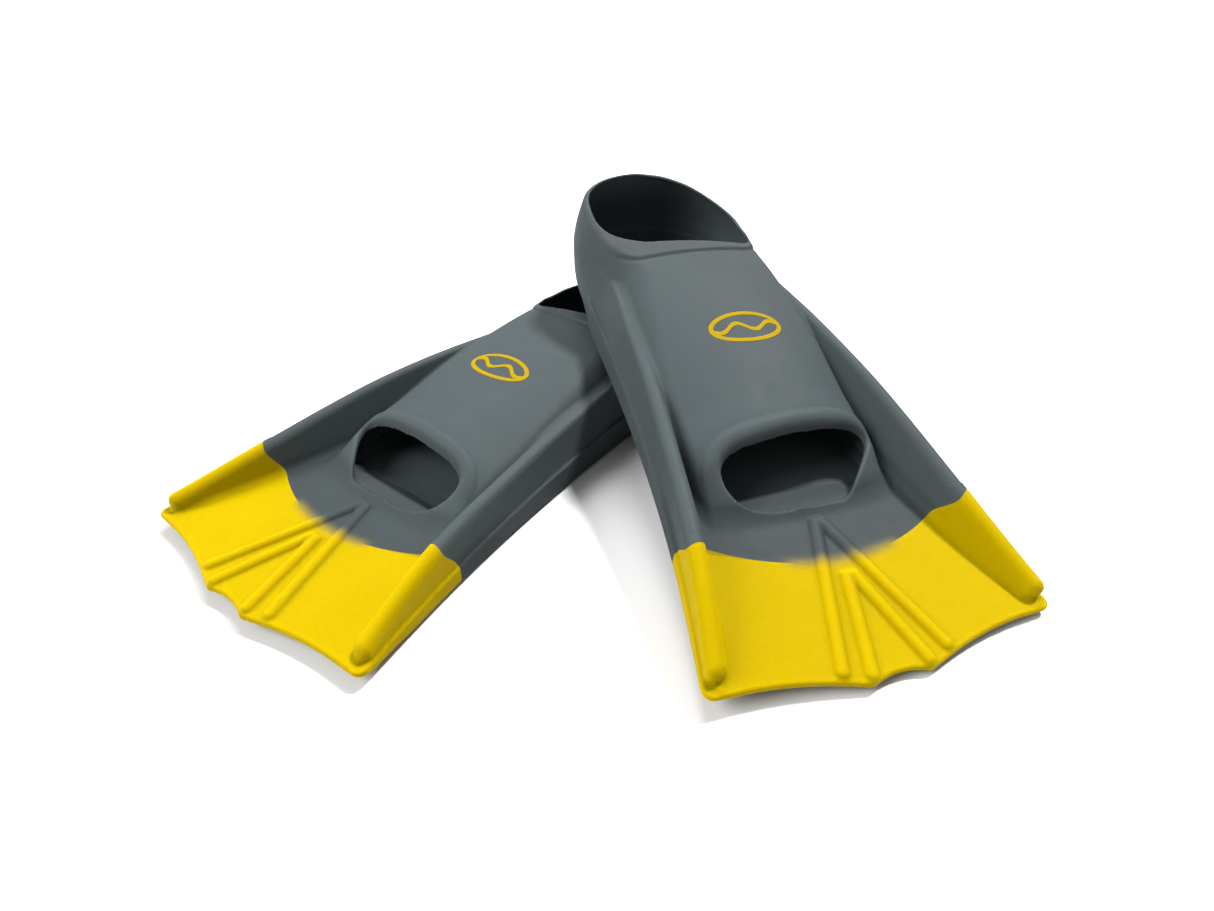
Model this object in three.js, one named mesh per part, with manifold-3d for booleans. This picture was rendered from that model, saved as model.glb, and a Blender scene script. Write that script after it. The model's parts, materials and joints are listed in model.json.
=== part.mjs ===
// A pair of short-blade training fins in moulded silicone, modelled in millimetres, +Z up.
// One fin lies flat with its toe towards -Y. The other stands tip down and leans its heel on the flat one.
// Each fin is drawn in its own frame: +X from heel to tip, +Y to the big-toe side,
// Z = 0 the plane it lies on.
import * as THREE from 'three';
import { mergeVertices } from 'three/addons/utils/BufferGeometryUtils.js';
import Module from 'manifold-3d';

const wasm = await Module();
wasm.setup();

// Driving dimensions
const TIP_X = 366; // corners of the blade's trailing edge
const TEETH = 12; // how far the middle ribs' ends stand past the corners
const TIP_HALF_WIDTH = 95;
const HEEL_HALF_WIDTH = 60.5;
const HEEL_ROUND = 68; // length of the rounded heel in plan
const WEB_THICKNESS = 3.6;
const WEB_TIP_HEIGHT = 10; // middle of the web above the ground, at the tip
const WEB_ANGLE = THREE.MathUtils.degToRad(2.4); // the web falls this much towards the tip
const WEB_SLOPE = Math.tan(WEB_ANGLE);
const WALL = 3.4;
const INSOLE_TOP = 5; // inside floor of the foot pocket
const SOLE_CUT = 8; // where the sole piece ends and the walls begin
const GAP = 0.3; // clearance between neighbouring pieces
const RIB_RADIUS = 4.2;
const HINGE_X = 312; // flex line of the blade
const HINGE_RADIUS = 24.5;

// Stations along the fin
const POCKET_FRONT = 283; // lower edge of the toe window, where the pocket ends
const SHOE_FRONT = 292; // where the sole has risen to the web
const SOLE_RISE_X = 264; // where the sole starts to rise
const RAMP_REAR = 266; // where the pocket's floor starts to rise
const COLLAR_FRONT = 84; // straight front edge of the ankle opening
const WINDOW_REAR = 246;
const COLOUR_MID_X = 316; // foremost point of the line where the yellow starts
const COLOUR_MID_Y = 8;
const COLOUR_RADIUS = 125; // radius of the colour boundary in plan
const EMBLEM_X = 175;
const EMBLEM_Y = 7.5;

// Reaches of the cutting blocks, well clear of the fin
const FAR = 400;
const SIDE = 120;
const HIGH = 120;
const LOW = -20;

// How the two fins lie against each other
const LEAN_YAW = -34.1;
const LEAN_PITCH = 14.845;
const LEAN_ROLL = -2.05;
const LEAN_TIP = new THREE.Vector3(269.6, 157.5, 9.0);

const GREY = { color: 0x60686c, roughness: 0.55, metalness: 0 };
const YELLOW = { color: 0xe9c80a, roughness: 0.55, metalness: 0 };

const lerp = THREE.MathUtils.lerp;
const webHeight = (x) => WEB_TIP_HEIGHT + (TIP_X - x) * WEB_SLOPE;

// Half width of the parting line in plan: a rounded heel, then a flare towards the tip
function halfWidth(x) {
  if (x < HEEL_ROUND - 2) {
    const t = Math.min(1, (HEEL_ROUND - 2 - x) / HEEL_ROUND);
    return HEEL_HALF_WIDTH * (1 - t ** 2.4) ** (1 / 2.4);
  }
  const u = (x - HEEL_ROUND + 2) / 300;
  return HEEL_HALF_WIDTH + 10 * u + 24.5 * u ** 3;
}

// A smooth curve through [x, value] pairs, read at x
function profile(points) {
  return (x) => {
    const last = points.length - 1;
    if (x <= points[0][0]) return points[0][1];
    if (x >= points[last][0]) return points[last][1];
    const i = points.findIndex((p) => p[0] > x) - 1;
    const [x0, v0] = points[i];
    const [x1, v1] = points[i + 1];
    const slope = (a, b) => (b[1] - a[1]) / (b[0] - a[0]);
    const m0 = i > 0 ? slope(points[i - 1], points[i + 1]) : slope(points[i], points[i + 1]);
    const m1 = i + 2 <= last ? slope(points[i], points[i + 2]) : slope(points[i], points[i + 1]);
    const h = x1 - x0;
    const t = (x - x0) / h;
    const t2 = t * t;
    const t3 = t2 * t;
    const bend = m0 * (t3 - 2 * t2 + t) + m1 * (t3 - t2);
    return v0 * (2 * t3 - 3 * t2 + 1) + v1 * (3 * t2 - 2 * t3) + h * bend;
  };
}

// Height of the shoe's top on the centreline: heel rim, collar front, instep, toe slope
const topHeight = profile([
  [-4, 70], [84, 62], [130, 58], [182, 52], [220, 46.5], [248, 41], [268, 29], [290, 14],
]);

// Crest of each side rail: [x, y] in plan and [x, z] in height, for the big-toe (inner) and outer side
const RAILS = {
  inner: {
    side: 1,
    y: profile([[96, 48], [142, 53], [202, 56], [226, 59.5], [252, 66], [299, 77], [366, 90]]),
    z: profile([[96, 50], [142, 52], [202, 53.5], [226, 51.5], [252, 46], [299, 33.6], [358, 17]]),
    start: 96,
  },
  outer: {
    side: -1,
    y: profile([[72, 45], [117, 46.5], [182, 53], [247, 63.5], [299, 76], [366, 90]]),
    z: profile([[72, 37], [117, 37.5], [182, 36], [247, 36], [299, 33.4], [358, 17]]),
    start: 72,
  },
};
const RAIL_END = 357;
const RAIL_BLUNT = 6; // length of the rounded-off end of a rail

const toSolid = (geometry) => {
  geometry.deleteAttribute('normal');
  geometry.deleteAttribute('uv');
  const g = mergeVertices(geometry, 1e-4);
  return new wasm.Manifold(new wasm.Mesh({
    numProp: 3,
    vertProperties: new Float32Array(g.attributes.position.array),
    triVerts: new Uint32Array(g.index.array),
  }));
};

const SLIVER = 0.03; // cuts leave no edge or face thinner than this

// Turns the long edge of each needle-thin triangle, so that no face is left without area
function flipSlivers(position, index) {
  const PASSES = 6;
  const point = (i) => new THREE.Vector3().fromBufferAttribute(position, i);
  for (let pass = 0; pass < PASSES; pass++) {
    const owner = new Map();
    const key = (a, b) => a * position.count + b;
    for (let t = 0; t < index.length; t += 3) {
      for (let k = 0; k < 3; k++) owner.set(key(index[t + k], index[t + ((k + 1) % 3)]), t);
    }
    const touched = new Set();
    for (let t = 0; t < index.length; t += 3) {
      const corners = [0, 1, 2].map((k) => index[t + k]);
      const lengths = corners.map((c, k) => point(c).distanceTo(point(corners[(k + 1) % 3])));
      const k = lengths.indexOf(Math.max(...lengths));
      const [a, b, c] = [corners[k], corners[(k + 1) % 3], corners[(k + 2) % 3]];
      const area = new THREE.Triangle(point(a), point(b), point(c)).getArea();
      const n = owner.get(key(b, a));
      if ((2 * area) / lengths[k] > SLIVER / 3 || touched.has(t) || touched.has(n)) continue;
      const d = [0, 1, 2].map((i) => index[n + i]).find((v) => v !== a && v !== b);
      if (owner.has(key(c, d)) || owner.has(key(d, c))) continue;
      index.set([a, d, c], t);
      index.set([d, b, c], n);
      touched.add(t).add(n);
    }
    if (!touched.size) return;
  }
}

const toGeometry = (solid, mirrored) => {
  const { vertProperties, triVerts } = solid.asOriginal().simplify(SLIVER).getMesh();
  const index = Uint32Array.from(triVerts);
  const g = new THREE.BufferGeometry();
  g.setAttribute('position', new THREE.BufferAttribute(Float32Array.from(vertProperties), 3));
  flipSlivers(g.attributes.position, index);
  if (mirrored) {
    g.scale(1, -1, 1);
    for (let i = 0; i < index.length; i += 3) [index[i], index[i + 1]] = [index[i + 1], index[i]];
  }
  g.setIndex(new THREE.BufferAttribute(index, 1));
  return g;
};

// A closed body through a row of rings with the same number of points, with a flat fan on each end
function loft(rings) {
  const n = rings[0].length;
  const points = rings.flat();
  const index = [];
  for (let r = 0; r + 1 < rings.length; r++) {
    for (let i = 0; i < n; i++) {
      const j = (i + 1) % n;
      const a = r * n + i;
      const b = r * n + j;
      index.push(a, b, b + n, a, b + n, a + n);
    }
  }
  const cap = (start, flip) => {
    const ring = points.slice(start, start + n);
    const centre = ring.reduce((s, p) => s.add(p), new THREE.Vector3()).divideScalar(n);
    const c = points.push(centre) - 1;
    for (let i = 0; i < n; i++) {
      const j = (i + 1) % n;
      index.push(...(flip ? [c, start + j, start + i] : [c, start + i, start + j]));
    }
  };
  cap(0, true);
  cap((rings.length - 1) * n, false);
  const g = new THREE.BufferGeometry();
  g.setAttribute('position', new THREE.Float32BufferAttribute(points.flatMap((p) => [p.x, p.y, p.z]), 3));
  g.setIndex(index);
  const solid = toSolid(g);
  if (solid.volume() > 0) return solid;
  for (let i = 0; i < index.length; i += 3) [index[i], index[i + 1]] = [index[i + 1], index[i]];
  g.setIndex(index);
  return toSolid(g);
}

// A block between two corners
function block(x0, x1, y0, y1, z0, z1) {
  const g = new THREE.BoxGeometry(x1 - x0, y1 - y0, z1 - z0);
  g.translate((x0 + x1) / 2, (y0 + y1) / 2, (z0 + z1) / 2);
  return toSolid(g);
}

// An upright prism on an outline in plan
function prism(outline, z0, z1) {
  const depth = z1 - z0;
  const g = new THREE.ExtrudeGeometry(new THREE.Shape(outline), { depth, bevelEnabled: false, steps: 1 });
  g.translate(0, 0, z0);
  return toSolid(g);
}

// A cylinder across the fin at the flex line
function hingeRoll(radius) {
  const SEGMENTS = 40;
  const g = new THREE.CylinderGeometry(radius, radius, 2 * SIDE + 20, SEGMENTS);
  g.translate(HINGE_X, 0, webHeight(HINGE_X));
  return toSolid(g);
}

// Outer shape of the shoe: flat sole, nearly upright lower side, arched top. inset shrinks it for the pocket.
function shoeRing(x, inset, floor) {
  const w = Math.max(1.5, halfWidth(x) - inset);
  const mid = webHeight(x);
  const top = Math.max(topHeight(x) - inset, mid + 1.5);
  const foot = Math.max(1, w - 4);
  const ring = [];
  const lower = [[-foot, floor], [foot, floor], [w - 0.8, lerp(floor, mid, 0.5)]];
  for (const [y, z] of lower) ring.push(new THREE.Vector3(x, y, z));
  const ARC_STEPS = 18;
  for (let i = 0; i <= ARC_STEPS; i++) {
    const a = (Math.PI * i) / ARC_STEPS;
    const c = Math.cos(a);
    const s = Math.sin(a);
    const bulge = Math.abs(s) ** 0.85;
    ring.push(new THREE.Vector3(x, w * Math.sign(c) * Math.abs(c) ** 0.95, mid + (top - mid) * bulge));
  }
  ring.push(new THREE.Vector3(x, -(w - 0.8), lerp(floor, mid, 0.5)));
  return ring;
}

const stations = (x0, x1, n) => Array.from({ length: n + 1 }, (_, i) => lerp(x0, x1, i / n));
const HEEL_STATIONS = [-1.9, -1, 1, 4, 9, 16, 26, 38, 52];

function shoeOuter(lift) {
  const RISE_POWER = 1.6;
  const middle = stations(HEEL_ROUND - 2, SOLE_RISE_X - 10, 14);
  const rings = [...HEEL_STATIONS, ...middle, ...stations(SOLE_RISE_X, SHOE_FRONT, 4)].map((x) => {
    const rise = Math.max(0, (x - SOLE_RISE_X) / (SHOE_FRONT - SOLE_RISE_X));
    return shoeRing(x, 0, rise ** RISE_POWER * (webHeight(x) - WEB_THICKNESS / 2));
  });
  for (const p of rings.flat()) p.z += lift;
  return loft(rings);
}

function shoePocket() {
  const heel = HEEL_STATIONS.map((x) => x + WALL);
  const middle = stations(HEEL_ROUND, RAMP_REAR - 26, 13);
  const rows = [...heel, ...middle, ...stations(RAMP_REAR - 16, RAMP_REAR, 2)];
  const rings = rows.map((x) => shoeRing(x, WALL, INSOLE_TOP));
  for (const x of [RAMP_REAR + 9, POCKET_FRONT]) {
    const part = (x - RAMP_REAR) / (POCKET_FRONT - RAMP_REAR);
    const ramp = lerp(INSOLE_TOP, webHeight(x) + WEB_THICKNESS / 2, part);
    const ring = shoeRing(x, WALL, INSOLE_TOP);
    const top = Math.max(...ring.map((p) => p.z));
    for (const p of ring) p.z = Math.max(p.z, Math.min(ramp, top - 0.5));
    rings.push(ring);
  }
  return loft(rings);
}

// Opening for the ankle, in plan: oval at the back, with a rounder front corner on the little-toe side
function ankleOutline() {
  const INNER = 45;
  const OUTER = 47;
  const REAR = 8;
  const WIDEST = 62;
  const SLANT = 0.14; // the front edge runs forward towards the big-toe side
  const front = (y) => COLLAR_FRONT + 5 + SLANT * y;
  const shape = new THREE.Shape();
  shape.moveTo(WIDEST, INNER);
  shape.bezierCurveTo(WIDEST - 18, INNER - 4, REAR, 12, REAR, -6);
  shape.bezierCurveTo(REAR, -28, 22, -OUTER, WIDEST - 16, -OUTER);
  shape.bezierCurveTo(WIDEST + 8, -OUTER, front(-36) - 1, -40, front(-22), -22);
  shape.lineTo(front(INNER - 8), INNER - 8);
  shape.quadraticCurveTo(front(INNER), INNER, front(INNER) - 8, INNER);
  return shape.getPoints(10).slice(0, -1);
}

// Opening over the toes, in plan: a round outer end and a slanted straight inner end
function windowOutline() {
  const shape = new THREE.Shape();
  shape.moveTo(WINDOW_REAR + 1, 38);
  shape.quadraticCurveTo(WINDOW_REAR + 2, 50, 254, 51);
  shape.lineTo(POCKET_FRONT - 5, 33);
  shape.quadraticCurveTo(POCKET_FRONT, 29, POCKET_FRONT, 23);
  shape.lineTo(POCKET_FRONT - 0.5, -20);
  shape.bezierCurveTo(POCKET_FRONT - 2, -32, 270, -44, 257, -44);
  shape.bezierCurveTo(250, -44, WINDOW_REAR, -38, WINDOW_REAR, -24);
  return shape.getPoints(6);
}

// Trailing edge of the blade in plan: three shallow scallops between the corners and the ribs' ends
function bladeOutline(fromX) {
  const CORNER = 5;
  const OUTER_TOOTH = { x: TIP_X + 8, y: 29 };
  const INNER_TOOTH = { x: TIP_X + TEETH, y: 15.5 };
  const sides = stations(fromX, TIP_X - CORNER - 2, 6);
  const shape = new THREE.Shape();
  shape.moveTo(fromX, -halfWidth(fromX));
  for (const x of sides) shape.lineTo(x, -halfWidth(x));
  shape.quadraticCurveTo(TIP_X, -TIP_HALF_WIDTH, TIP_X, -TIP_HALF_WIDTH + CORNER + 2);
  shape.quadraticCurveTo(TIP_X - 1.5, -58, OUTER_TOOTH.x, -OUTER_TOOTH.y);
  shape.lineTo(INNER_TOOTH.x, -INNER_TOOTH.y);
  shape.quadraticCurveTo(TIP_X + 6, 0, INNER_TOOTH.x, INNER_TOOTH.y);
  shape.lineTo(OUTER_TOOTH.x, OUTER_TOOTH.y);
  shape.quadraticCurveTo(TIP_X - 1.5, 58, TIP_X, TIP_HALF_WIDTH - CORNER - 2);
  shape.quadraticCurveTo(TIP_X, TIP_HALF_WIDTH, TIP_X - CORNER - 2, halfWidth(TIP_X - CORNER - 2));
  for (const x of sides.reverse()) shape.lineTo(x, halfWidth(x));
  return shape.getPoints(8);
}

// The web is a plate that slopes down to the tip
function web(fromX) {
  const g = new THREE.ExtrudeGeometry(new THREE.Shape(bladeOutline(fromX)), {
    depth: WEB_THICKNESS, bevelEnabled: false, steps: 1,
  });
  const p = g.attributes.position;
  for (let i = 0; i < p.count; i++) p.setZ(i, p.getZ(i) + webHeight(p.getX(i)) - WEB_THICKNESS / 2);
  return toSolid(g);
}

// One side rail: a rounded crest above the web and a narrower keel below it, down to the ground
function rail({ side, y, z, start }) {
  const blunt = RAIL_END - RAIL_BLUNT;
  const rings = [...stations(start, blunt - 5, 20), blunt + 1, RAIL_END - 1, RAIL_END].map((x) => {
    const taper = x < blunt ? 1 : lerp(1, 0.45, (x - blunt) / RAIL_BLUNT);
    const outer = halfWidth(x) - 1;
    const crest = Math.min(y(x), outer - 4.5);
    const mid = webHeight(x);
    const foot = Math.max(crest - 11, outer - 24);
    const rise = lerp(3, z(x) - mid, taper);
    const drop = lerp(3, mid, taper);
    const above = [
      [foot, 0.02], [foot + 4, 0.4], [crest - 4.5, 0.84], [crest - 2, 1],
      [crest + 2, 0.97], [crest + 4, 0.82], [outer - 0.6, 0.18], [outer, 0.07],
    ];
    const below = [[outer, 0.1], [outer - 1.6, 0.3], [outer - 3.5, 1], [outer - 11, 1], [outer - 13, 0.2]];
    return [
      ...above.map(([v, part]) => new THREE.Vector3(x, side * v, mid + rise * part)),
      ...below.map(([v, part]) => new THREE.Vector3(x, side * v, mid - drop * part)),
    ];
  });
  return loft(rings);
}

// A round bar lying in the web from one plan point to another
function rib(x0, y0, x1, y1) {
  const at = (x, y) => new THREE.Vector3(x, y, webHeight(x) + 0.2);
  const path = new THREE.LineCurve3(at(x0, y0), at(x1, y1));
  const circle = new THREE.EllipseCurve(0, 0, RIB_RADIUS, RIB_RADIUS, 0, 2 * Math.PI);
  const section = new THREE.Shape(circle.getPoints(9));
  const g = new THREE.ExtrudeGeometry(section, { extrudePath: path, steps: 1, bevelEnabled: false });
  return toSolid(g);
}

function ribs() {
  const OUTER = { apex: TIP_X - 72, end: TIP_X + 4, y: 27.5 };
  const INNER = { apex: TIP_X - 39, end: TIP_X + 8, y: 14.5 };
  return [OUTER, INNER].flatMap(({ apex, end, y }) => [1, -1].map((s) => rib(apex, s, end, s * y)));
}

const union = (solids) => solids.reduce((a, b) => a.add(b));

// The whole fin as one moulding, before it is parted into its pieces
function wholeFin() {
  const rails = [rail(RAILS.inner), rail(RAILS.outer)];
  const shell = union([shoeOuter(0), web(POCKET_FRONT - 24), ...rails, ...ribs()]);
  const ABOVE_INSOLE = 5;
  const ankle = prism(ankleOutline(), INSOLE_TOP + 25, HIGH);
  const toes = prism(windowOutline(), INSOLE_TOP + ABOVE_INSOLE, HIGH);
  return shell.subtract(shoePocket()).subtract(ankle).subtract(toes);
}

// Generic emblem: an oval ring with a wave across it, lying on the instep
function emblem() {
  const RING = { x: 11, y: 22, line: 2.2 };
  const WAVE = 3; // height of the wave's crests
  const HALF_LINE = 1.2;
  const oval = (a, b) => new THREE.EllipseCurve(EMBLEM_X, EMBLEM_Y, a, b, 0, 2 * Math.PI).getPoints(32);
  const outline = prism(oval(RING.x, RING.y), 0, HIGH);
  const hole = prism(oval(RING.x - RING.line, RING.y - RING.line), LOW, HIGH + 1);
  const wave = [];
  const reach = RING.y - RING.line / 2;
  const ys = stations(EMBLEM_Y - reach, EMBLEM_Y + reach, 20);
  const crest = (y) => EMBLEM_X + WAVE * Math.sin(((y - EMBLEM_Y) / RING.y) * 2 * Math.PI);
  for (const y of ys) wave.push(new THREE.Vector2(crest(y) + HALF_LINE, y));
  for (const y of [...ys].reverse()) wave.push(new THREE.Vector2(crest(y) - HALF_LINE, y));
  const PRINT = 0.6;
  const mark = outline.subtract(hole).add(prism(wave, 0, HIGH));
  const skin = shoeOuter(GAP + PRINT).subtract(shoeOuter(GAP));
  const OVER_SOLE = 40;
  return mark.intersect(skin).intersect(block(0, FAR, -SIDE, SIDE, OVER_SOLE, HIGH));
}

// The fin parted into the pieces that are named nodes
function finPieces() {
  const fin = wholeFin();
  const ahead = block(HINGE_X, FAR, -SIDE, SIDE, LOW, HIGH);
  const bladeZone = hingeRoll(HINGE_RADIUS).add(ahead);
  const shoeZone = hingeRoll(HINGE_RADIUS + GAP).add(ahead);
  const shoe = fin.subtract(shoeZone);
  const blade = fin.intersect(bladeZone);

  const COLOUR_SIDE = 66;
  const arc = (offset) => {
    const centre = COLOUR_MID_X - COLOUR_RADIUS;
    const bow = (y) => Math.sqrt((COLOUR_RADIUS - offset) ** 2 - (y - COLOUR_MID_Y) ** 2);
    const edge = COLOUR_SIDE - offset;
    const points = [new THREE.Vector2(HINGE_X - 32, edge), new THREE.Vector2(HINGE_X - 32, -edge)];
    for (const y of stations(-edge, edge, 12)) {
      points.push(new THREE.Vector2(centre + bow(y), y));
    }
    return prism(points, LOW, HIGH);
  };
  const rootZone = arc(GAP);
  const tipCut = arc(0);

  const half = GAP / 2;
  const INNER_CUT = 53;
  const OUTER_CUT = -46;
  const HEEL_CUT = COLLAR_FRONT + 3;
  const TOE_CUT = 262;
  const TOE_SIDE = 60;
  const toeZone = (margin, top) =>
    block(TOE_CUT - margin, FAR, -TOE_SIDE - margin, TOE_SIDE + margin, LOW, top);
  const soleZone = block(LOW, FAR, -SIDE, SIDE, LOW, SOLE_CUT - half).add(toeZone(-half, TOE_SIDE));
  const above = block(LOW, FAR, -SIDE, SIDE, SOLE_CUT + half, HIGH);
  const upper = shoe.intersect(above).subtract(toeZone(half, TOE_SIDE + 1));
  const heelZone = block(LOW, HEEL_CUT - half, -SIDE, SIDE, 0, HIGH);
  const innerZone = block(HEEL_CUT + half, FAR, INNER_CUT + half, SIDE, 0, HIGH)
    .add(block(TOE_CUT - half, FAR, 0, SIDE, 0, HIGH));
  const outerZone = block(HEEL_CUT + half, FAR, -SIDE, OUTER_CUT - half, 0, HIGH)
    .add(block(TOE_CUT - half, FAR, -SIDE, 0, 0, HIGH));
  const instepZone = block(HEEL_CUT + half, TOE_CUT - half, OUTER_CUT + half, INNER_CUT - half, 0, HIGH);

  return {
    sole: { solid: shoe.intersect(soleZone), look: GREY },
    heel_cup: { solid: upper.intersect(heelZone), look: GREY },
    inner_side: { solid: upper.intersect(innerZone), look: GREY },
    outer_side: { solid: upper.intersect(outerZone), look: GREY },
    instep: { solid: upper.intersect(instepZone), look: GREY },
    blade_root: { solid: blade.intersect(rootZone), look: GREY },
    blade_tip: { solid: blade.subtract(tipCut), look: YELLOW },
    emblem: { solid: emblem(), look: YELLOW },
  };
}

const PIECES = finPieces();

// Named meshes of one fin. A left fin is the mirror image of a right one.
function fin(prefix, mirrored) {
  const group = new THREE.Group();
  for (const [name, { solid, look }] of Object.entries(PIECES)) {
    const mesh = new THREE.Mesh(toGeometry(solid, mirrored), new THREE.MeshStandardMaterial(look));
    mesh.name = `${prefix}_${name}`;
    group.add(mesh);
  }
  return group;
}

const pair = new THREE.Group();

const flat = fin('flat', true);
flat.rotation.z = -Math.PI / 2;
flat.position.set(0, TIP_X, 0);
pair.add(flat);

// The leaning fin turns about the middle of its tip
const leaning = new THREE.Group();
const leaningFin = fin('leaning', false);
leaningFin.position.set(-TIP_X, 0, -WEB_TIP_HEIGHT);
const level = new THREE.Group();
level.rotation.y = -WEB_ANGLE;
level.add(leaningFin);
leaning.add(level);
leaning.rotation.order = 'ZYX';
leaning.rotation.set(...[LEAN_ROLL, LEAN_PITCH, LEAN_YAW].map(THREE.MathUtils.degToRad));
leaning.position.copy(LEAN_TIP);
pair.add(leaning);

// Origin: on the ground, under the middle of the pair
pair.updateMatrixWorld(true);
const box = new THREE.Box3().setFromObject(pair, true);
const centre = box.getCenter(new THREE.Vector3());
for (const child of [flat, leaning]) child.position.sub(new THREE.Vector3(centre.x, centre.y, box.min.z));

export default pair;
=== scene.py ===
"""Two short-bladed silicone swim fins: one flat on the floor, one leaning its heel on the other.

Each fin's skin is one smooth field, in mm and in the fin's own frame: X from heel to tip, +Y the
big-toe side, Z up from the ground under the sole. The field is meshed once, cut along the line where
the grey silicone meets the yellow, and placed twice, mirrored for the flat fin.
"""

import json
import math

import bpy
import numpy as np
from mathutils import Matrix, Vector
from mathutils.geometry import tessellate_polygon


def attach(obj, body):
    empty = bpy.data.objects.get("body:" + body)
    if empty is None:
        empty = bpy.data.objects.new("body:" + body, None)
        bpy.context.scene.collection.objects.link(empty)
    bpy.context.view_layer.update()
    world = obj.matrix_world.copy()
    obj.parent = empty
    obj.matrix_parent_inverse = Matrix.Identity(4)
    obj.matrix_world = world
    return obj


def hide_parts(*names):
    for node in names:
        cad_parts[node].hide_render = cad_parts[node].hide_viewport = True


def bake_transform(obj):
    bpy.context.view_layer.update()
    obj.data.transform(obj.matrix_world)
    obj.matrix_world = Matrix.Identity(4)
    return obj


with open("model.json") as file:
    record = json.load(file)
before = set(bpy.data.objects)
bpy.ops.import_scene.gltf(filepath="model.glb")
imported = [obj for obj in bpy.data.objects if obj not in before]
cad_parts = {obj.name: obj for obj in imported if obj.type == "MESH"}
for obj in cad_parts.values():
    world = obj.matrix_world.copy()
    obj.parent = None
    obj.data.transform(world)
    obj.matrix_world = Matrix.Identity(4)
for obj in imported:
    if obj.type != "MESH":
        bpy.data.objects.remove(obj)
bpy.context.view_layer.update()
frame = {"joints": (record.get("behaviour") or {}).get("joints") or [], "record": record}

# ---------------------------------------------------------------- sizes of one fin, mm
MM = 0.001
TIP_X = 366.0
HEEL_HALF = 60.5
HEEL_ROUND = 68.0
HEEL_FULLNESS = 2.4  # the power of the heel's rounded outline: 2 is an ellipse, more is squarer
HEEL_CENTRE = HEEL_ROUND - 2.0
BLADE_RUN = TIP_X - HEEL_CENTRE
WEB_THICK = 3.6
WEB_TIP_HEIGHT = 10.0
WEB_SLOPE = math.tan(math.radians(2.4))
WALL = 3.4
INSOLE = 5.0
HINGE_X = 312.0
COLLAR_FRONT = 89.2
COLLAR_SLANT = 0.14  # the opening's front edge runs forward towards the big-toe side
POCKET_FRONT = 283.0
RAMP_REAR = 262.0
RAIL_END = 360.0
LIP = 1.5  # how far the parting-line flange stands out of the side walls
WEB_FRONT_ROUND = 7.0  # rounding of the web's corners, seen from above
ROLL_RADIUS = 8.0  # of the lip rolled along the top of the toe window
ROLL_OUT = 5.2  # from the window's edge to the middle of the roll
ROLL_SUNK = 5.7  # how much of the roll is below the instep
OPENING_RIM = 1.6  # rounding of the edges of the ankle opening and the toe window
COLOUR_MID, COLOUR_MID_Y = 316.0, 8.0  # the foremost point of the arc where grey meets yellow
COLOUR_RADIUS = 125.0
SEAM_X = 100.5  # where the ankle collar ends, ahead of its opening
EMBLEM_X, EMBLEM_Y = 175.0, 7.5
EMBLEM_A, EMBLEM_B = 11.0, 22.0  # half the mark's length along the fin, and half its width
EMBLEM_LINE = 1.45  # half the thickness of its lines
EMBLEM_WAVE = 3.0
EMBLEM_THICK = 0.6

# the instep's ridge line, heel to toe, and how its cross-section is arched
INSTEP = [
    (-4, 70), (40, 66.5), (84, 62), (130, 58), (182, 52), (220, 46.5), (246, 41.5), (262, 33), (278, 21.5),
    (288, 11), (298, -3),
]
ARCH = [(-4, 0), (60, 0.0004), (84, 0.0012), (130, 0.0026), (182, 0.0034), (247, 0.0044), (290, 0.001)]
TILT = [(84, 0.03), (182, 0.04), (247, 0.0)]
RIM_DIP = [(0, 1), (14, 4), (40, 7), (64, 4), (84, 0)]  # the ankle rim is lower on the big-toe side
CUP_BULGE = 0.5  # how far the heel cup stands out of the outline at its widest
CUP_FOOT, CUP_RISE = 36.0, 31.0  # the height where the cup starts to lean in, and over how much it does
HEEL_CUP = [(0, 8.5), (5, 5), (15, 1.9), (25, 0.6), (CUP_FOOT, -CUP_BULGE), (80, -CUP_BULGE)]  # height, inset
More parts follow.
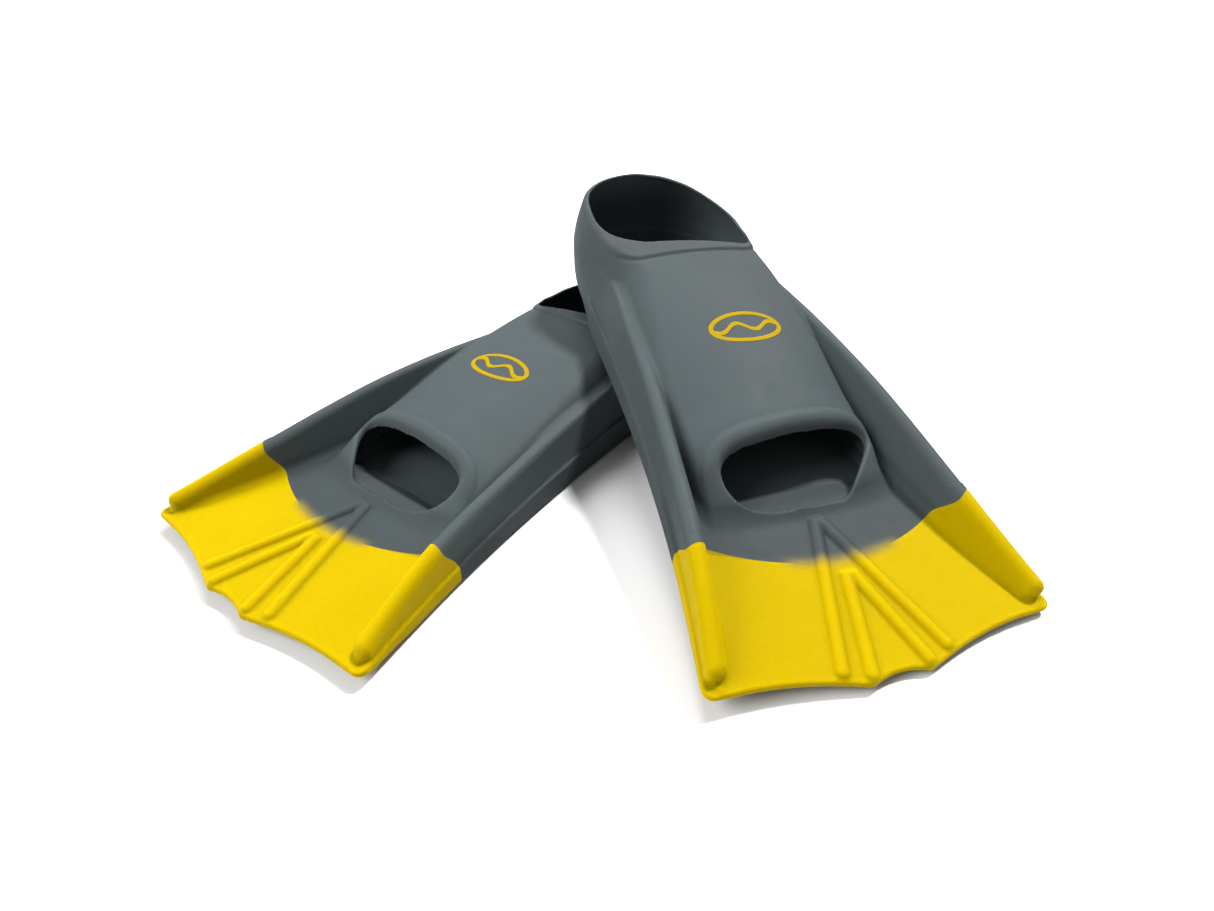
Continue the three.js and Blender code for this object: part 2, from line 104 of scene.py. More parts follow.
# per side, along X: wide, how far the ground outline is widened; inset, how far the side wall is in
# from that outline once up at the rail; crest and width, the rail's height and thickness; body, how far
# the shoe's own side is in from the wall; flare, how fast the wall reaches its inset as it goes up;
# shoulder, the rounding between the shoe's side and its instep. slope is how much the rail thickens
# downward, and fillet the rounding in the valley between the rail and the shoe.
SIDES = {
    "inner": {
        "wide": [(66, 0), (110, 0.9), (182, 1.8), (299, 2.4), (366, 2.6)],
        "inset": [
            (-4, 5.5), (4, 6.5), (14, 9.5), (24, 12.0), (45, 12.4), (67, 11.3), (84, 11.2), (100, 10.0),
            (117, 6.6), (142, 3.4), (202, 2.2), (252, 1.0), (299, 0.4), (366, 0.8),
        ],
        "crest": [
            (60, 12), (74, 24), (84, 36), (96, 44), (117, 47.2), (142, 47.6), (202, 48), (226, 46.4),
            (252, 42.8), (299, 33.6), (366, 17.0),
        ],
        "width": [(96, 5.0), (202, 6.6), (252, 8.0), (299, 9.4), (366, 9.4)],
        "body": [(66, -4), (92, 0), (117, 2.2), (142, 4.2), (202, 9.0), (247, 13.5), (268, 16.0), (290, 20)],
        "flare": [(10, 30), (60, 26), (96, 18), (366, 14)],
        "shoulder": [(80, 2.6), (92, 4), (130, 6), (220, 8), (262, 10), (290, 7)],
        "slope": 0.24,
        "fillet": 3.2,
    },
    "outer": {
        "wide": [(66, 0), (299, -0.6), (366, -1.6)],
        "inset": [
            (-4, 5.2), (8, 4.6), (20, 4.2), (29, 4.8), (46, 8.1), (62, 11.2), (84, 12.0), (105, 12.2),
            (117, 11.2), (142, 8.6), (182, 6.4), (247, 2.0), (299, 0.2), (366, 0.8),
        ],
        "crest": [
            (40, 8), (56, 20), (68, 33), (80, 40), (100, 43), (117, 43), (142, 41.5), (182, 39.5), (247, 37),
            (299, 33.4), (366, 16),
        ],
        "width": [(72, 3.6), (110, 5.0), (182, 7.2), (247, 8.4), (299, 9.4), (366, 10.6)],
        "body": [(48, -4), (66, -1.5), (80, 0.8), (96, 3.2), (117, 4.8), (182, 7.6), (247, 12.5), (290, 20)],
        "flare": [(10, 30), (60, 30), (96, 26), (366, 18)],
        "shoulder": [(80, 2.6), (92, 6), (106, 14), (140, 13), (190, 8), (240, 7), (268, 6), (290, 4)],
        "slope": 0.08,
        "fillet": 4.2,
    },
}
# the rounding of the rails' outer edge
RAIL_EDGE = [(88, 3.0), (110, 1.6), (150, 2.2), (240, 4.2), (300, 5.2), (366, 5.2)]
TALL = 45.0  # height over the flange at which a wall is fully in
RIB_RADIUS = 3.9
RIB_SPLIT = 2.0  # how far each leg of a V starts from its apex, to round it off
RIBS = {  # apex, then end at the tip
    "outer": ((292.8, 2.6), (369.0, 28.0)),
    "inner": ((325.5, 2.2), (373.4, 15.2)),
}


def web_top(x):
    return WEB_TIP_HEIGHT + (TIP_X - x) * WEB_SLOPE


def profile(points, x):
    """A smooth curve through (x, value) points, level outside them."""
    px, py = np.array(points, float).T
    slope = np.gradient(py, px)
    i = np.clip(np.searchsorted(px, x, side="right") - 1, 0, len(px) - 2)
    run = px[i + 1] - px[i]
    t = np.clip((x - px[i]) / run, 0, 1)
    return (
        py[i] * (1 + 2 * t) * (1 - t) ** 2
        + slope[i] * run * t * (1 - t) ** 2
        + py[i + 1] * t * t * (3 - 2 * t)
        - slope[i + 1] * run * t * t * (1 - t)
    )


def step(a, b, v):
    t = np.clip((v - a) / (b - a), 0, 1)
    return t * t * (3 - 2 * t)


def both(a, b, r):
    """Where a and b overlap, with the outside edge rounded to radius r."""
    return np.minimum(-r, np.maximum(a, b)) + np.hypot(np.maximum(a + r, 0), np.maximum(b + r, 0))


def either(a, b, r):
    """a and b together, with a fillet of radius r between them."""
    return -both(-a, -b, r)


# ---------------------------------------------------------------- outlines seen from above
def bezier(points, count=14):
    p = np.array(points, float)
    t = np.linspace(0, 1, count, endpoint=False)[:, None]
    if len(p) == 3:
        return (1 - t) ** 2 * p[0] + 2 * t * (1 - t) * p[1] + t**2 * p[2]
    return (1 - t) ** 3 * p[0] + 3 * t * (1 - t) ** 2 * p[1] + 3 * t**2 * (1 - t) * p[2] + t**3 * p[3]


def window_outline():
    """The toe window: straight along its top, round on the little-toe side, slanted on the other."""
    return np.concatenate(
        [
            bezier([(248.2, 38), (248.4, 45), (250, 50.5), (255, 50.5)], 12),
            bezier([(255, 50.5), (258.5, 50.5), (267, 42), (277.5, 32)], 12),
            bezier([(277.5, 32), (281.5, 28), (283.4, 25), (283.3, 19)], 8),
            np.array([[283.3, 19]]),
            bezier([(282.8, -18), (281.5, -32), (274, -41.5), (263, -41.5)], 16),
            bezier([(263, -41.5), (255, -41.5), (251.5, -35), (251.3, -22)], 12),
            np.array([[251.3, -22]]),
        ]
    )


WINDOW = window_outline()


def outline_distance(x, y, loop, reach=18.0):
    """Signed distance from a closed outline, negative inside, worked out only near it."""
    x, y = np.broadcast_arrays(x, y)
    lo, hi = loop.min(0) - reach, loop.max(0) + reach
    far = np.full(x.shape, reach)
    near = (x > lo[0]) & (x < hi[0]) & (y > lo[1]) & (y < hi[1])
    p = np.stack([x[near], y[near]], 1)
    best = np.full(len(p), reach * reach)
    inside = np.zeros(len(p), bool)
    for a, b in zip(loop, np.roll(loop, -1, 0)):
        edge = b - a
        t = np.clip((p - a) @ edge / (edge @ edge), 0, 1)
        gap = p - a - t[:, None] * edge
        best = np.minimum(best, (gap * gap).sum(1))
        if a[1] != b[1]:
            crosses = (a[1] > p[:, 1]) != (b[1] > p[:, 1])
            inside ^= crosses & (p[:, 0] < edge[0] * (p[:, 1] - a[1]) / edge[1] + a[0])
    far[near] = np.where(inside, -1, 1) * np.sqrt(best)
    return far


def half_width(x):
    u = np.maximum(x - HEEL_CENTRE, 0) / BLADE_RUN
    return HEEL_HALF + 11.2 * u * u / (u + 0.12) + 24.5 * u**3


def outline(x, y):
    """Distance outside the fin's outline, seen from above, without the tip."""
    slope = half_width(x + 0.5) - half_width(x - 0.5)
    wide = np.where(y > 0, profile(SIDES["inner"]["wide"], x), profile(SIDES["outer"]["wide"], x))
    side = (np.abs(y) - half_width(x) - wide) / np.hypot(1, slope)
    a, b = np.maximum(HEEL_CENTRE - x, 0) / HEEL_ROUND, np.abs(y) / HEEL_HALF
    n = HEEL_FULLNESS
    r = np.maximum((a**n + b**n) ** (1 / n), 0.05)
    steep = r ** (1 - n) * np.hypot(a ** (n - 1) / HEEL_ROUND, b ** (n - 1) / HEEL_HALF)
    heel = (r - 1) / np.maximum(steep, 0.5 / HEEL_ROUND)
    return np.where(x > HEEL_CENTRE, side, heel)


def tip(x, y):
    """Distance past the tip: a long shallow bay each side, and three teeth where the ribs end."""
    v = np.abs(y)
    t = (v - 29) / (95 - 29)
    bay = 374 - 19.5 * t + 11.5 * t * t
    tooth = 374 + (29 - v) * 4 / 13.5
    middle = 375 + 3 * (v / 15.5) ** 2
    edge = np.where(v > 29, bay, np.where(v > 15.5, tooth, middle))
    return (x - edge) * 0.97


def capsule(x, y, z, a, b, radius):
    ax, ay = a
    bx, by = b
    az, bz = web_top(ax) - 1.0, web_top(bx) - 1.2
    dx, dy, dz = bx - ax, by - ay, bz - az
    t = np.clip(((x - ax) * dx + (y - ay) * dy + (z - az) * dz) / (dx * dx + dy * dy + dz * dz), 0, 1)
    return np.sqrt((x - ax - t * dx) ** 2 + (y - ay - t * dy) ** 2 + (z - az - t * dz) ** 2) - radius


def collar(x, y, z, edge):
    """How far the band round the ankle stands out: it ends at a seam in front of the opening."""
    seam = SEAM_X - (0.045 - 0.010 * step(-4, 4, y)) * np.maximum(edge + 30 - 8 * step(-4, 4, y), 0) ** 2
    band = 1.0 * (1 - step(-1.4, 1.4, x - seam)) - 0.5 * np.exp(-(((x - seam - 1.4) / 1.5) ** 2))
    return band * step(30, 42, z) * step(66, 92, x) * (1 - step(-16, -8, edge))


def side_parts(x, z, edge, side, mid):
    """One side's wall, its rail inside that wall, and how far the shoe is in from the outline."""
    p = SIDES[side]
    up, down = np.maximum(z - mid, 0), np.maximum(mid - z, 0)
    inset = profile(p["inset"], x)
    rise = profile(p["flare"], x)
    lean = (1 - np.exp(-up / rise)) / (1 - np.exp(-TALL / rise))
    lip = LIP * step(-2.2, 0.6, z - mid)
    wall = edge + lip + (inset - lip) * lean + 0.02 * down
    cup_lean = (inset + CUP_BULGE) * np.clip((z - CUP_FOOT) / CUP_RISE, 0, 1.2) ** 1.5
    cup = edge + profile(HEEL_CUP, z) + cup_lean
    wall = cup + (wall - cup) * step(52, 100, x)
    if side == "inner":
        wall = wall - collar(x, 60, z, edge)
    crest = profile(p["crest"], x) + 0.5 * step(298.6, 299.8, x)
    width = profile(p["width"], x)
    foot = np.clip(crest - z, 0, np.maximum(crest - web_top(x), 0))
    bar = both(-(edge + inset) - width - p["slope"] * foot, z - crest, width * 0.46)
    keel = 0.4 + 2.2 * step(320, RAIL_END, x)
    bar = both(bar, keel - z, 2.2)
    bar = both(bar, x - RAIL_END, width * 0.45)
    shoulder = profile(p["shoulder"], x) + 0 * z
    return wall, bar, wall + profile(p["body"], x), shoulder, p["fillet"] + 0 * z


def skin(x, y, z):
    """The fin's field: about the distance in mm to its surface, negative in the silicone."""
    edge = outline(x, y)
    front = tip(x, y)
    mid = web_top(x) - WEB_THICK / 2
    turn = step(-8, 8, y)
    wall, bar, body, shoulder, fillet = (
        turn * a + (1 - turn) * b
        for a, b in zip(side_parts(x, z, edge, "inner", mid), side_parts(x, z, edge, "outer", mid))
    )

    # the arched instep, with the rolled lip round the toe window and the seam in front of the collar
    hole = outline_distance(x, y, WINDOW)
    roll = np.sqrt(np.maximum(ROLL_RADIUS**2 - (hole - ROLL_OUT) ** 2, 0)) - ROLL_SUNK
    roll = np.maximum(0.5 * (roll + np.sqrt(roll * roll + 0.2)) - 0.015, 0) * (1 - step(253, 272, x))
    steep = profile(INSTEP, x + 0.5) - profile(INSTEP, x - 0.5)
    top = profile(INSTEP, x) + profile(TILT, x) * y - profile(ARCH, x) * y * y + collar(x, y, 60, edge) + roll
    top = top - profile(RIM_DIP, x) * step(2, 28, y)
    roof = (z - top) / np.hypot(1, steep)

    under = 9.3 * step(258, 296, x) - z
    shoe = both(body, roof, shoulder)
    shoe = both(shoe, under, 5.0)
    shoe = both(shoe, x - 300, 3.0)
    solid = both(wall, either(bar, shoe, fillet), profile(RAIL_EDGE, x))

    web = both(np.abs(z - mid) - WEB_THICK / 2, both(edge + 5, front, WEB_FRONT_ROUND), 1.3)
    hidden = 4.0 * (1 - step(58, 100, x))  # the flange sinks into the wall round the heel
    flange = both(np.abs(z - mid) - WEB_THICK / 2 + 0.15, both(edge + hidden, front, WEB_FRONT_ROUND), 1.0)
    solid = either(solid, web, 4.5 - 2.5 * step(340, 356, x))
    for apex, end in RIBS.values():
        for sign in (1, -1):
            root = (apex[0], apex[1] + sign * RIB_SPLIT)
            solid = either(solid, capsule(x, y, z, root, (end[0], sign * end[1]), RIB_RADIUS), 1.0)
    solid = both(either(solid, flange, 0.8), -z, 0.8)

    # the foot pocket, open at the ankle and at the toes
    lining = both(body, wall, 3.0) + WALL
    ramp = RAMP_REAR + 0.002 * y * y
    climb = np.clip((x - ramp) / (POCKET_FRONT + 3 - ramp), 0, 1)
    insole = INSOLE + (web_top(POCKET_FRONT) - INSOLE) * np.sin(climb * math.pi / 2) ** 1.1
    corner = np.maximum(shoulder - WALL, 1.0)
    room = both(both(lining, insole - z, 2.5), roof + WALL + 0.8 * roll, corner)
    room = both(room, x - POCKET_FRONT, 2.0)
    front_edge = x - COLLAR_FRONT - COLLAR_SLANT * y
    ankle = both(both(lining, front_edge, 8.0 + 18.0 * step(6, -34, y)), insole + 20 - z, 1.0)
    toes = both(hole, insole - z, 0.5)
    room = either(either(room, ankle, 3.0), toes, 0.4)
    rim = OPENING_RIM + 1.4 * (1 - step(6, 10, hole)) * (1 - step(250, 268, x))
    return both(solid, -room, rim)


def colour_line(x, y, z):
    """Distance past the line where the grey silicone meets the yellow, along the fin."""
    v = np.clip(np.abs(y - COLOUR_MID_Y), 0, 72)
    bow = COLOUR_RADIUS - np.sqrt(COLOUR_RADIUS**2 - v * v)
    crest = 10.0 * step(12, 32, z) * step(62, 70, np.abs(y))
    return x - (COLOUR_MID - bow + crest)


# ---------------------------------------------------------------- meshing
CORNERS = np.array([(i, j, k) for i in (0, 1) for j in (0, 1) for k in (0, 1)])
EDGES = [(a, b) for a in range(8) for b in range(a + 1, 8) if np.abs(CORNERS[a] - CORNERS[b]).sum() == 1]


def gradient(field, p, h=0.12):
    g = np.empty_like(p)
    for axis in range(3):
        d = np.zeros(3)
        d[axis] = h
        g[:, axis] = (field(*(p + d).T) - field(*(p - d).T)) / (2 * h)
    return g


def settle(field, p, rounds, limit):
    """Moves points onto the surface."""
    for _ in range(rounds):
        g = gradient(field, p)
        move = -field(*p.T)[:, None] * g / np.maximum((g * g).sum(1), 0.2)[:, None]
        size = np.linalg.norm(move, axis=1)[:, None]
        p = p + move * np.minimum(1, limit / np.maximum(size, 1e-9))
    return p


def nets(field, lo, hi, cell):
    """Vertices, triangles and normals of a field's surface."""
    axes = [np.arange(a, b + cell, cell) for a, b in zip(lo, hi)]
    v = field(axes[0][:, None, None], axes[1][None, :, None], axes[2][None, None, :])
    inside = v < 0
    n = np.array(v.shape) - 1
    cut = [slice(0, -1), slice(1, None)]
    count = sum(inside[cut[i], cut[j], cut[k]].astype(np.int8) for i, j, k in CORNERS)
    live = (count > 0) & (count < 8)
    cells = np.argwhere(live)
    index = np.full(tuple(n), -1)
    index[live] = np.arange(len(cells))
    values = np.stack([v[tuple((cells + c).T)] for c in CORNERS], 1)
    total, hits = np.zeros((len(cells), 3)), np.zeros(len(cells))
    for a, b in EDGES:
        va, vb = values[:, a], values[:, b]
        split = (va < 0) != (vb < 0)
        t = np.where(split, va / np.where(split, va - vb, 1), 0)[:, None]
        total += split[:, None] * (CORNERS[a] + t * (CORNERS[b] - CORNERS[a]))
        hits += split
    points = np.array(lo) + (cells + total / hits[:, None]) * cell
    quads = []
    for axis in range(3):
        here = [slice(1, -1)] * 3
        here[axis] = slice(0, -1)
        ahead = list(here)
        ahead[axis] = slice(1, None)
        a, b = inside[tuple(here)], inside[tuple(ahead)]
        base = np.argwhere(a != b)
        leaving = a[tuple(base.T)]
        offset = np.ones(3, int)
        offset[axis] = 0
        base = base + offset
        u, w = [np.eye(3, dtype=int)[(axis + k) % 3] for k in (1, 2)]
        ring = [index[tuple((base - s).T)] for s in (u + w, w, 0 * u, u)]
        quad = np.stack(ring, 1)
        quad[~leaving] = quad[~leaving][:, ::-1]
        quads.append(quad)
    quads = np.concatenate(quads)
    points = settle(field, points, 2, cell * 0.7)
    # even the spacing along the surface, then settle again
    for _ in range(2):
        total, hits = np.zeros_like(points), np.zeros(len(points))
        for k in range(4):
            a, b = quads[:, k], quads[:, (k + 1) % 4]
            for m in range(3):
                total[:, m] += np.bincount(a, points[b, m], len(points))
                total[:, m] += np.bincount(b, points[a, m], len(points))
            hits += np.bincount(a, minlength=len(points)) + np.bincount(b, minlength=len(points))
        points = points * 0.5 + 0.5 * total / np.maximum(hits, 1)[:, None]
        points = settle(field, points, 1, cell * 0.5)
    points = settle(field, points, 1, cell * 0.3)
    normals = gradient(field, points, 0.2)
    normals /= np.maximum(np.linalg.norm(normals, axis=1), 1e-9)[:, None]
    # each quad is split along its shorter diagonal
    d = np.linalg.norm(points[quads[:, 0]] - points[quads[:, 2]], axis=1)
    e = np.linalg.norm(points[quads[:, 1]] - points[quads[:, 3]], axis=1)
    first = d <= e
    triangles = np.concatenate(
        [
            quads[first][:, [0, 1, 2]],
            quads[first][:, [0, 2, 3]],
            quads[~first][:, [0, 1, 3]],
            quads[~first][:, [1, 2, 3]],
        ]
    )
    return points, triangles, normals


def cut_along(points, triangles, normals, level):
    """Cuts a mesh where level is 0 and returns (behind, ahead), each closed with a cap."""
    level = np.where(np.abs(level) < 1e-3, 1e-3, level)
    side = level > 0
    sums = side[triangles].sum(1)
    crossing = triangles[(sums == 1) | (sums == 2)]
    made, extra, extra_n = {}, [], []

    def middle(a, b):
        key = (min(a, b), max(a, b))
        if key not in made:
            t = level[key[0]] / (level[key[0]] - level[key[1]])
            made[key] = len(points) + len(extra)
            extra.append(points[key[0]] * (1 - t) + points[key[1]] * t)
            extra_n.append(normals[key[0]] * (1 - t) + normals[key[1]] * t)
        return made[key]

    parts = {False: [], True: []}
    links = {}
    for tri in crossing.tolist():
        flags = [bool(side[i]) for i in tri]
        lone = next(k for k in range(3) if flags.count(flags[k]) == 1)
        a, b, c = tri[lone], tri[(lone + 1) % 3], tri[(lone + 2) % 3]
        ab, ca = middle(a, b), middle(c, a)
        parts[flags[lone]].append((a, ab, ca))
        parts[not flags[lone]] += [(ab, b, c), (ab, c, ca)]
        if flags[lone]:
            links[ca] = ab
        else:
            links[ab] = ca
    loops = []
    while links:
        start, now = next(iter(links.items()))
        loop = [start]
        del links[start]
        while now != start:
            loop.append(now)
            now = links.pop(now)
        loops.append(loop)
    points = np.concatenate([points, extra])
    normals = np.concatenate([normals, extra_n])
    caps = []
    for loop in loops:
        flat = [Vector((points[i][1], points[i][2], 0)) for i in loop]
        caps += [tuple(loop[i] for i in t) for t in tessellate_polygon([flat])]
    out = []
    for ahead in (False, True):
        whole = triangles[sums == (3 if ahead else 0)]
        skin_faces = np.concatenate([whole, np.array(parts[ahead])])
        cap = np.array(caps)
        p, q, r = (points[cap[:, k]] for k in range(3))
        facing = np.cross(q - p, r - p)[:, 0] > 0
        cap[facing == ahead] = cap[facing == ahead][:, ::-1]
        used, renumbered = np.unique(np.concatenate([skin_faces, cap]), return_inverse=True)
        faces = renumbered.reshape(-1, 3)
        out.append((points[used], faces, normals[used], len(skin_faces)))
    return out


# ---------------------------------------------------------------- the two fins' places
def placing(name):
    """The matrix and origin, in metres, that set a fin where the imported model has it."""
    joint = next(j for j in frame["joints"] if j["name"] == f"{name}_blade_flex")
    mount = next(m for m in frame["record"]["mounts"] if m["name"] == f"{name}_sole_face")
    across = -np.array(joint["axis"], float)
    across /= np.linalg.norm(across)
    up = -np.array(mount["axis"], float)
    up -= (up @ across) * across
    up /= np.linalg.norm(up)
    along = np.cross(across, up)
    turn = np.stack([along, across, up])
    origin = np.array(joint["pos_m"]) - MM * (HINGE_X * along + web_top(HINGE_X) * up)
    return turn, origin


def put(name, points, normals, faces, mirrored):
    """Points and normals of a fin's own frame, in the row frame."""
    turn, origin = placing(name)
    if mirrored:
        flip = np.array([1, -1, 1])
        points, normals, faces = points * flip, normals * flip, faces[:, ::-1]
    return points @ turn * MM + origin, normals @ turn, faces


def piece(name, points, normals, faces, skin_faces, material, **values):
    mesh = bpy.data.meshes.new(name)
    mesh.vertices.add(len(points))
    mesh.vertices.foreach_set("co", points.astype(np.float32).ravel())
    mesh.loops.add(faces.size)
    mesh.loops.foreach_set("vertex_index", faces.astype(np.int32).ravel())
    mesh.polygons.add(len(faces))
    mesh.polygons.foreach_set("loop_start", np.arange(0, faces.size, 3, dtype=np.int32))
    mesh.update(calc_edges=True)
    mesh.polygons.foreach_set("use_smooth", np.arange(len(faces)) < skin_faces)
    mesh.materials.append(material)
    corner = normals[faces.ravel()]
    flat = np.repeat(np.arange(len(faces)) >= skin_faces, 3)
    corner[flat] = 0
    mesh.normals_split_custom_set(corner.astype(np.float32))
    for key, value in values.items():
        mesh.attributes.new(key, "FLOAT", "POINT").data.foreach_set("value", value.astype(np.float32))
    made = bpy.data.objects.new(name, mesh)
    bpy.context.scene.collection.objects.link(made)
    return made


# ---------------------------------------------------------------- camera
FOCAL_SHARE = 0.5763  # focal length as a share of the picture's width
SENSOR = 36.0
CAMERA_FROM_TIP = np.array([0.2981, -0.08896, 0.26018])  # from the flat fin's tip, on the ground
CAMERA_DOWN = math.radians(34.17)
CAMERA_PAN = math.radians(37.8)

camera = bpy.data.objects.new("camera", bpy.data.cameras.new("camera"))
bpy.context.scene.collection.objects.link(camera)
camera.data.sensor_width = SENSOR
camera.data.lens = SENSOR * FOCAL_SHARE
camera.data.clip_start, camera.data.clip_end = 0.01, 100
toe_along, flat_origin = placing("flat")[0][0], placing("flat")[1]
camera.location = flat_origin + MM * TIP_X * toe_along + CAMERA_FROM_TIP
camera.rotation_euler = (math.pi / 2 - CAMERA_DOWN, 0, CAMERA_PAN)
bpy.context.scene.camera = camera

# ---------------------------------------------------------------- materials
GREY = (0.037, 0.0455, 0.0475)
YELLOW = (0.262, 0.186, 0.0002)
INK = (0.215, 0.145, 0.0006)
DUST = (0.15, 0.16, 0.15)
YELLOW_GLEAM = (1.0, 0.78, 0.08)  # the colour of a highlight seen through the yellow skin
# how many times each pattern repeats in a metre
FLOW_SCALE, GRAIN_SCALE, SHEEN_SCALE = 16.0, 420.0, 90.0
DUST_SCALE, DUST_PATCH_SCALE = 300.0, 60.0
SKIN_GRAIN_SCALE, WAVINESS_SCALE = 2600.0, 120.0


class Nodes:
    """A material's node tree, written a node at a time."""

    def __init__(self, name):
        self.material = bpy.data.materials.new(name)
        self.material.use_nodes = True
        self.tree = self.material.node_tree
        self.shader = self.tree.nodes["Principled BSDF"]

    def add(self, kind, inputs=(), **settings):
        node = self.tree.nodes.new(kind)
        for key, value in settings.items():
            setattr(node, key, value)
        for key, value in dict(inputs).items():
            self.feed(node.inputs[key], value)
        return node

    def feed(self, socket, value):
        if isinstance(value, bpy.types.NodeSocket):
            self.tree.links.new(value, socket)
        else:
            socket.default_value = value

    def noise(self, scale, detail=2.0, rough=0.5):
        where = self.add("ShaderNodeTexCoord").outputs["Object"]
        settings = {"Vector": where, "Scale": scale, "Detail": detail, "Roughness": rough}
        return self.add("ShaderNodeTexNoise", settings).outputs["Fac"]

    def spread(self, value, lo, hi, to_lo, to_hi):
        ends = {"From Min": lo, "From Max": hi, "To Min": to_lo, "To Max": to_hi}
        return self.add("ShaderNodeMapRange", {"Value": value, **ends}).outputs["Result"]

    def maths(self, operation, a, b):
        return self.add("ShaderNodeMath", {0: a, 1: b}, operation=operation).outputs[0]

    def bump(self, height, strength, distance):
        return self.add("ShaderNodeBump", {"Height": height, "Strength": strength, "Distance": distance})

    def mix(self, factor, a, b):
        node = self.add("ShaderNodeMix", {"Factor": factor}, data_type="RGBA")
        self.feed(node.inputs[6], a)
        self.feed(node.inputs[7], b)
        return node.outputs[2]


def colour(rgb):
    return (*rgb, 1.0)


def silicone(name, ink=None, gloss=0.06, gleam=(1.0, 1.0, 1.0), milky=0.06, depth=1.2 * MM):
    """Moulded silicone: a satin skin with fine grain, slow flow marks and dust specks; ridges painted
    lighter, partly as rubbed wear and partly as a painted highlight, and creases painted darker as painted
    shade.

    milky is the share of light scattered under the skin, and depth is how deep it goes. Without an ink,
    the colour comes from the mesh: its tint runs from grey at 0 to yellow at 1, and a painted shade stored on
    the mesh darkens it.
    """
    n = Nodes(name)
    if ink:
        base = n.add("ShaderNodeRGB").outputs[0]
        base.default_value = colour(ink)
    else:
        tint = n.add("ShaderNodeAttribute", attribute_name="tint").outputs["Fac"]
        shade = n.add("ShaderNodeAttribute", attribute_name="shade").outputs["Fac"]
        plain = n.mix(tint, colour(GREY), colour(YELLOW))
        # the colour is scaled down by the painted shade stored on the mesh
        base = n.add("ShaderNodeVectorMath", {0: plain, "Scale": shade}, operation="SCALE").outputs[0]
    flow = n.spread(n.noise(FLOW_SCALE, 3.0), 0.3, 0.7, 0.97, 1.03)
    grain = n.spread(n.noise(GRAIN_SCALE, 3.0, 0.6), 0.3, 0.7, 0.97, 1.03)
    # painted light: pointiness lightens the ridges, partly rubbed wear and partly a painted highlight, and
    # darkens the creases with painted shade
    bend = n.add("ShaderNodeNewGeometry").outputs["Pointiness"]
    ridge_wear_and_painted_light = n.spread(bend, 0.47, 0.56, 0.93, 1.10)
    value = n.maths("MULTIPLY", n.maths("MULTIPLY", flow, grain), ridge_wear_and_painted_light)
    shaded = n.add("ShaderNodeVectorMath", {0: base, "Scale": value}, operation="SCALE").outputs[0]
    where = n.add("ShaderNodeTexCoord").outputs["Object"]
    cells = n.add("ShaderNodeTexVoronoi", {"Vector": where, "Scale": DUST_SCALE, "Randomness": 1.0})
    dots = cells.outputs["Distance"]
    patch = n.spread(n.noise(DUST_PATCH_SCALE, 2.0), 0.55, 0.70, 0.0, 1.0)
    dust = n.maths("MULTIPLY", n.spread(dots, 0.05, 0.10, 0.20, 0.0), patch)
    finish = n.mix(dust, shaded, colour(DUST))
    n.feed(n.shader.inputs["Base Color"], finish)
    n.feed(n.shader.inputs["Roughness"], n.spread(n.noise(SHEEN_SCALE, 3.0), 0.3, 0.7, 0.54, 0.64))
    n.feed(n.shader.inputs["IOR"], 1.41)
    n.feed(n.shader.inputs["Specular IOR Level"], gloss)
    n.feed(n.shader.inputs["Specular Tint"], colour(gleam))
    n.feed(n.shader.inputs["Subsurface Weight"], milky)
    n.feed(n.shader.inputs["Subsurface Radius"], (1.0, 0.8, 0.4))
    n.feed(n.shader.inputs["Subsurface Scale"], depth)
    fine = n.bump(n.noise(SKIN_GRAIN_SCALE, 2.0, 0.6), 0.22, 0.12 * MM)
    slow = n.bump(n.noise(WAVINESS_SCALE, 2.0), 0.03, 0.3 * MM)
    n.tree.links.new(fine.outputs["Normal"], slow.inputs["Normal"])
    n.feed(n.shader.inputs["Normal"], slow.outputs["Normal"])
    return n.material


grey_silicone = silicone("grey_silicone")
yellow_silicone = silicone("yellow_silicone", gloss=0.05, gleam=YELLOW_GLEAM, milky=0.5, depth=4 * MM)
yellow_print = silicone("yellow_print", INK, 0.05, YELLOW_GLEAM)

# ---------------------------------------------------------------- the fins
CELL = 1.35
BLEED = 5.5  # how far grey and yellow run into each other where they mix
WEB_PAINTED_SHADE = 0.26  # painted shade: the grey web is painted this much darker than the shoe, standing in for shade the lamps don't give it

SKIN_LOW, SKIN_HIGH = (-6, -99, -3), (382, 99, 76)  # a box round one fin

points, triangles, normals = nets(skin, SKIN_LOW, SKIN_HIGH, CELL)
pieces = cut_along(points, triangles, normals, colour_line(*points.T))



def emblem(x, y, z):
    """The printed mark: an oval ring with a wave across it, 0.6 mm thick and half sunk in the skin."""
    u, v = x - EMBLEM_X, y - EMBLEM_Y
    r = np.maximum(np.hypot(u / EMBLEM_A, v / EMBLEM_B), 0.05)
    steep = np.hypot(u / EMBLEM_A**2, v / EMBLEM_B**2) / r
    ring = np.abs((r - 1) / np.maximum(steep, 0.02)) - EMBLEM_LINE
    wave = np.abs(u - EMBLEM_WAVE * np.sin(v * 2 * math.pi / EMBLEM_B)) / np.hypot(1, 0.5) - EMBLEM_LINE
    wave = np.maximum(wave, (r - 1.0) * EMBLEM_A)
    return both(np.minimum(ring, wave), np.abs(skin(x, y, z)) - EMBLEM_THICK / 2, 0.25)


mark_low = (EMBLEM_X - EMBLEM_A - 2, EMBLEM_Y - EMBLEM_B - 2, 46)
mark_high = (EMBLEM_X + EMBLEM_A + 2, EMBLEM_Y + EMBLEM_B + 2, 57)
mark_points, mark_faces, mark_normals = nets(emblem, mark_low, mark_high, 0.45)

GREY_NODES = ["sole", "heel_cup", "inner_side", "outer_side", "instep", "blade_root"]
YELLOW_NODES = ["blade_tip"]

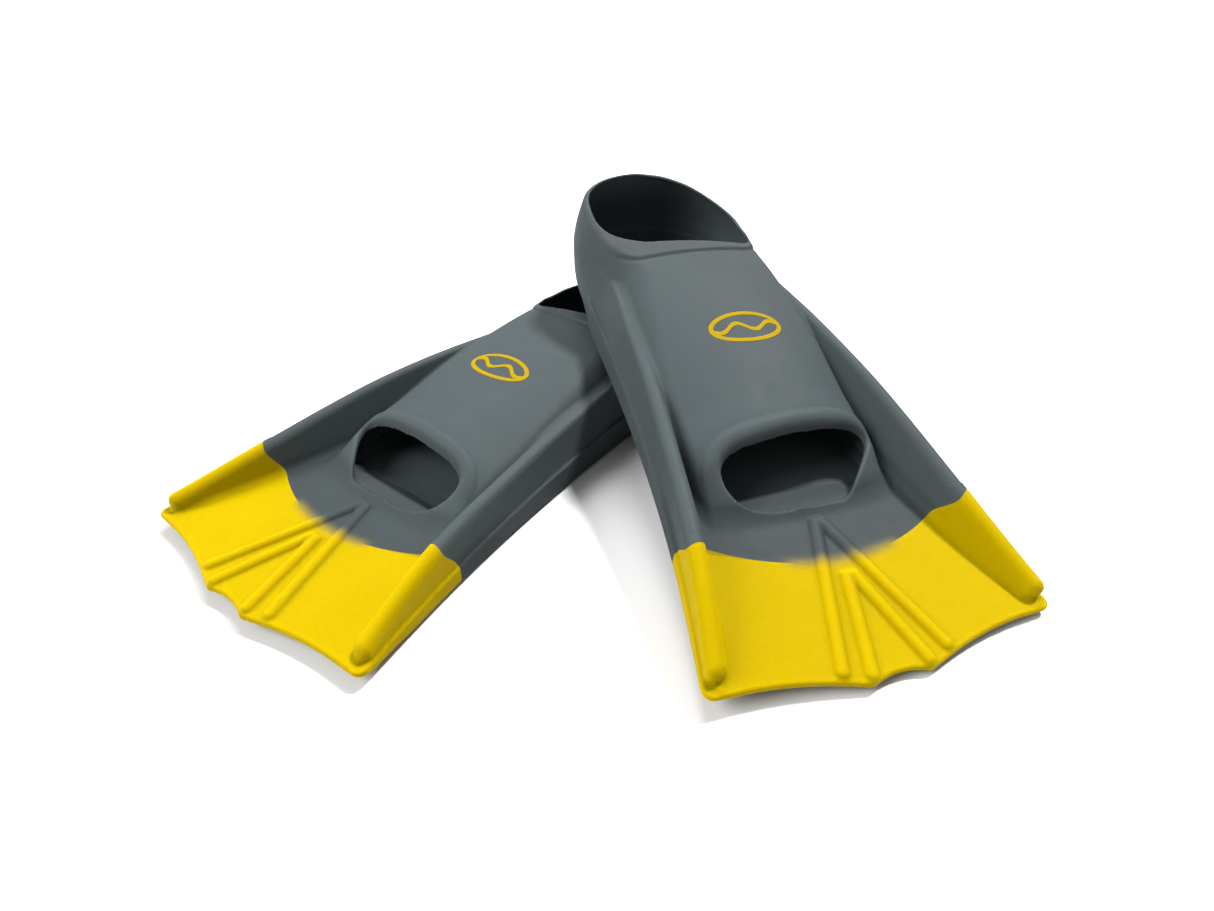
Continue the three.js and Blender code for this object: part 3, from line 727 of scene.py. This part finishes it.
for name, mirrored in (("flat", True), ("leaning", False)):
    turn, origin = placing(name)
    for ahead, (p, f, nrm, whole) in zip((False, True), pieces):
        y, past = p[:, 1], colour_line(*p.T)
        mixed = step(-30, -20, y) * (1 - step(32, 42, y))
        tint = float(ahead) * (1 - mixed) + mixed * step(-BLEED, BLEED, past)
        low = 1 - step(3, 9, p[:, 2] - web_top(p[:, 0]))
        # painted shade: the grey web ahead of the shoe's front, up to 9 mm above its top, is painted darker
        # than the shoe
        shade = 1 - WEB_PAINTED_SHADE * step(244, 278, p[:, 0]) * low * (1 - tint)
        made = piece(
            f"{name}_{'blade_tip' if ahead else 'shoe'}_moulding",
            *put(name, p, nrm, f, mirrored),
            whole,
            yellow_silicone if ahead else grey_silicone,
            tint=tint,
            shade=shade,
        )
        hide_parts(*[f"{name}_{part}" for part in (YELLOW_NODES if ahead else GREY_NODES)])
        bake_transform(made)
    placed = put(name, mark_points, mark_normals, mark_faces, mirrored)
    mark = piece(f"{name}_mark", *placed, len(mark_faces), yellow_print)
    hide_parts(f"{name}_emblem")
    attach(mark, f"{name}_fin_shoe")

# ---------------------------------------------------------------- floor and light
FLOOR_REACH = 60.0
FLOOR_GREY = 0.53
SKY_DIM, SKY_BRIGHT = 0.30, 0.55  # the studio's light at the horizon and overhead
floor_mesh = bpy.data.meshes.new("floor")
floor_corners = [(sx * FLOOR_REACH, sy * FLOOR_REACH, 0) for sx, sy in ((-1, -1), (1, -1), (1, 1), (-1, 1))]
floor_mesh.from_pydata(floor_corners, [], [(0, 1, 2, 3)])
floor = bpy.data.objects.new("floor", floor_mesh)
bpy.context.scene.collection.objects.link(floor)
pale = Nodes("pale_floor")
pale.feed(pale.shader.inputs["Base Color"], colour((FLOOR_GREY, FLOOR_GREY, FLOOR_GREY)))
pale.feed(pale.shader.inputs["Roughness"], 0.7)
pale.feed(pale.shader.inputs["Specular IOR Level"], 0.2)
floor_mesh.materials.append(pale.material)

bpy.context.scene.view_settings.view_transform = "Standard"
world = bpy.data.worlds.new("studio")
bpy.context.scene.world = world
world.use_nodes = True
sky = world.node_tree
height = sky.nodes.new("ShaderNodeSeparateXYZ")
spread = sky.nodes.new("ShaderNodeMapRange")
sky.links.new(sky.nodes.new("ShaderNodeTexCoord").outputs["Generated"], height.inputs[0])
sky.links.new(height.outputs["Z"], spread.inputs["Value"])
spread.inputs["To Min"].default_value, spread.inputs["To Max"].default_value = SKY_DIM, SKY_BRIGHT
sky.links.new(spread.outputs["Result"], sky.nodes["Background"].inputs["Strength"])
sky.nodes["Background"].inputs["Color"].default_value = (1, 1, 1, 1)


def sun(name, azimuth, elevation, angle, strength):
    """A lamp whose light comes from that bearing (0 is +Y, 90 is +X) and height, in degrees."""
    lamp = bpy.data.objects.new(name, bpy.data.lights.new(name, "SUN"))
    bpy.context.scene.collection.objects.link(lamp)
    lamp.data.angle, lamp.data.energy = math.radians(angle), strength
    a, e = math.radians(azimuth), math.radians(elevation)
    back = Vector((math.sin(a) * math.cos(e), math.cos(a) * math.cos(e), math.sin(e)))
    lamp.rotation_euler = (-back).to_track_quat("-Z", "Y").to_euler()


sun("key", 14, 58, 7, 6.9)
sun("back", -45, 52, 20, 2.0)
sun("side", -140, 35, 40, 5.0)
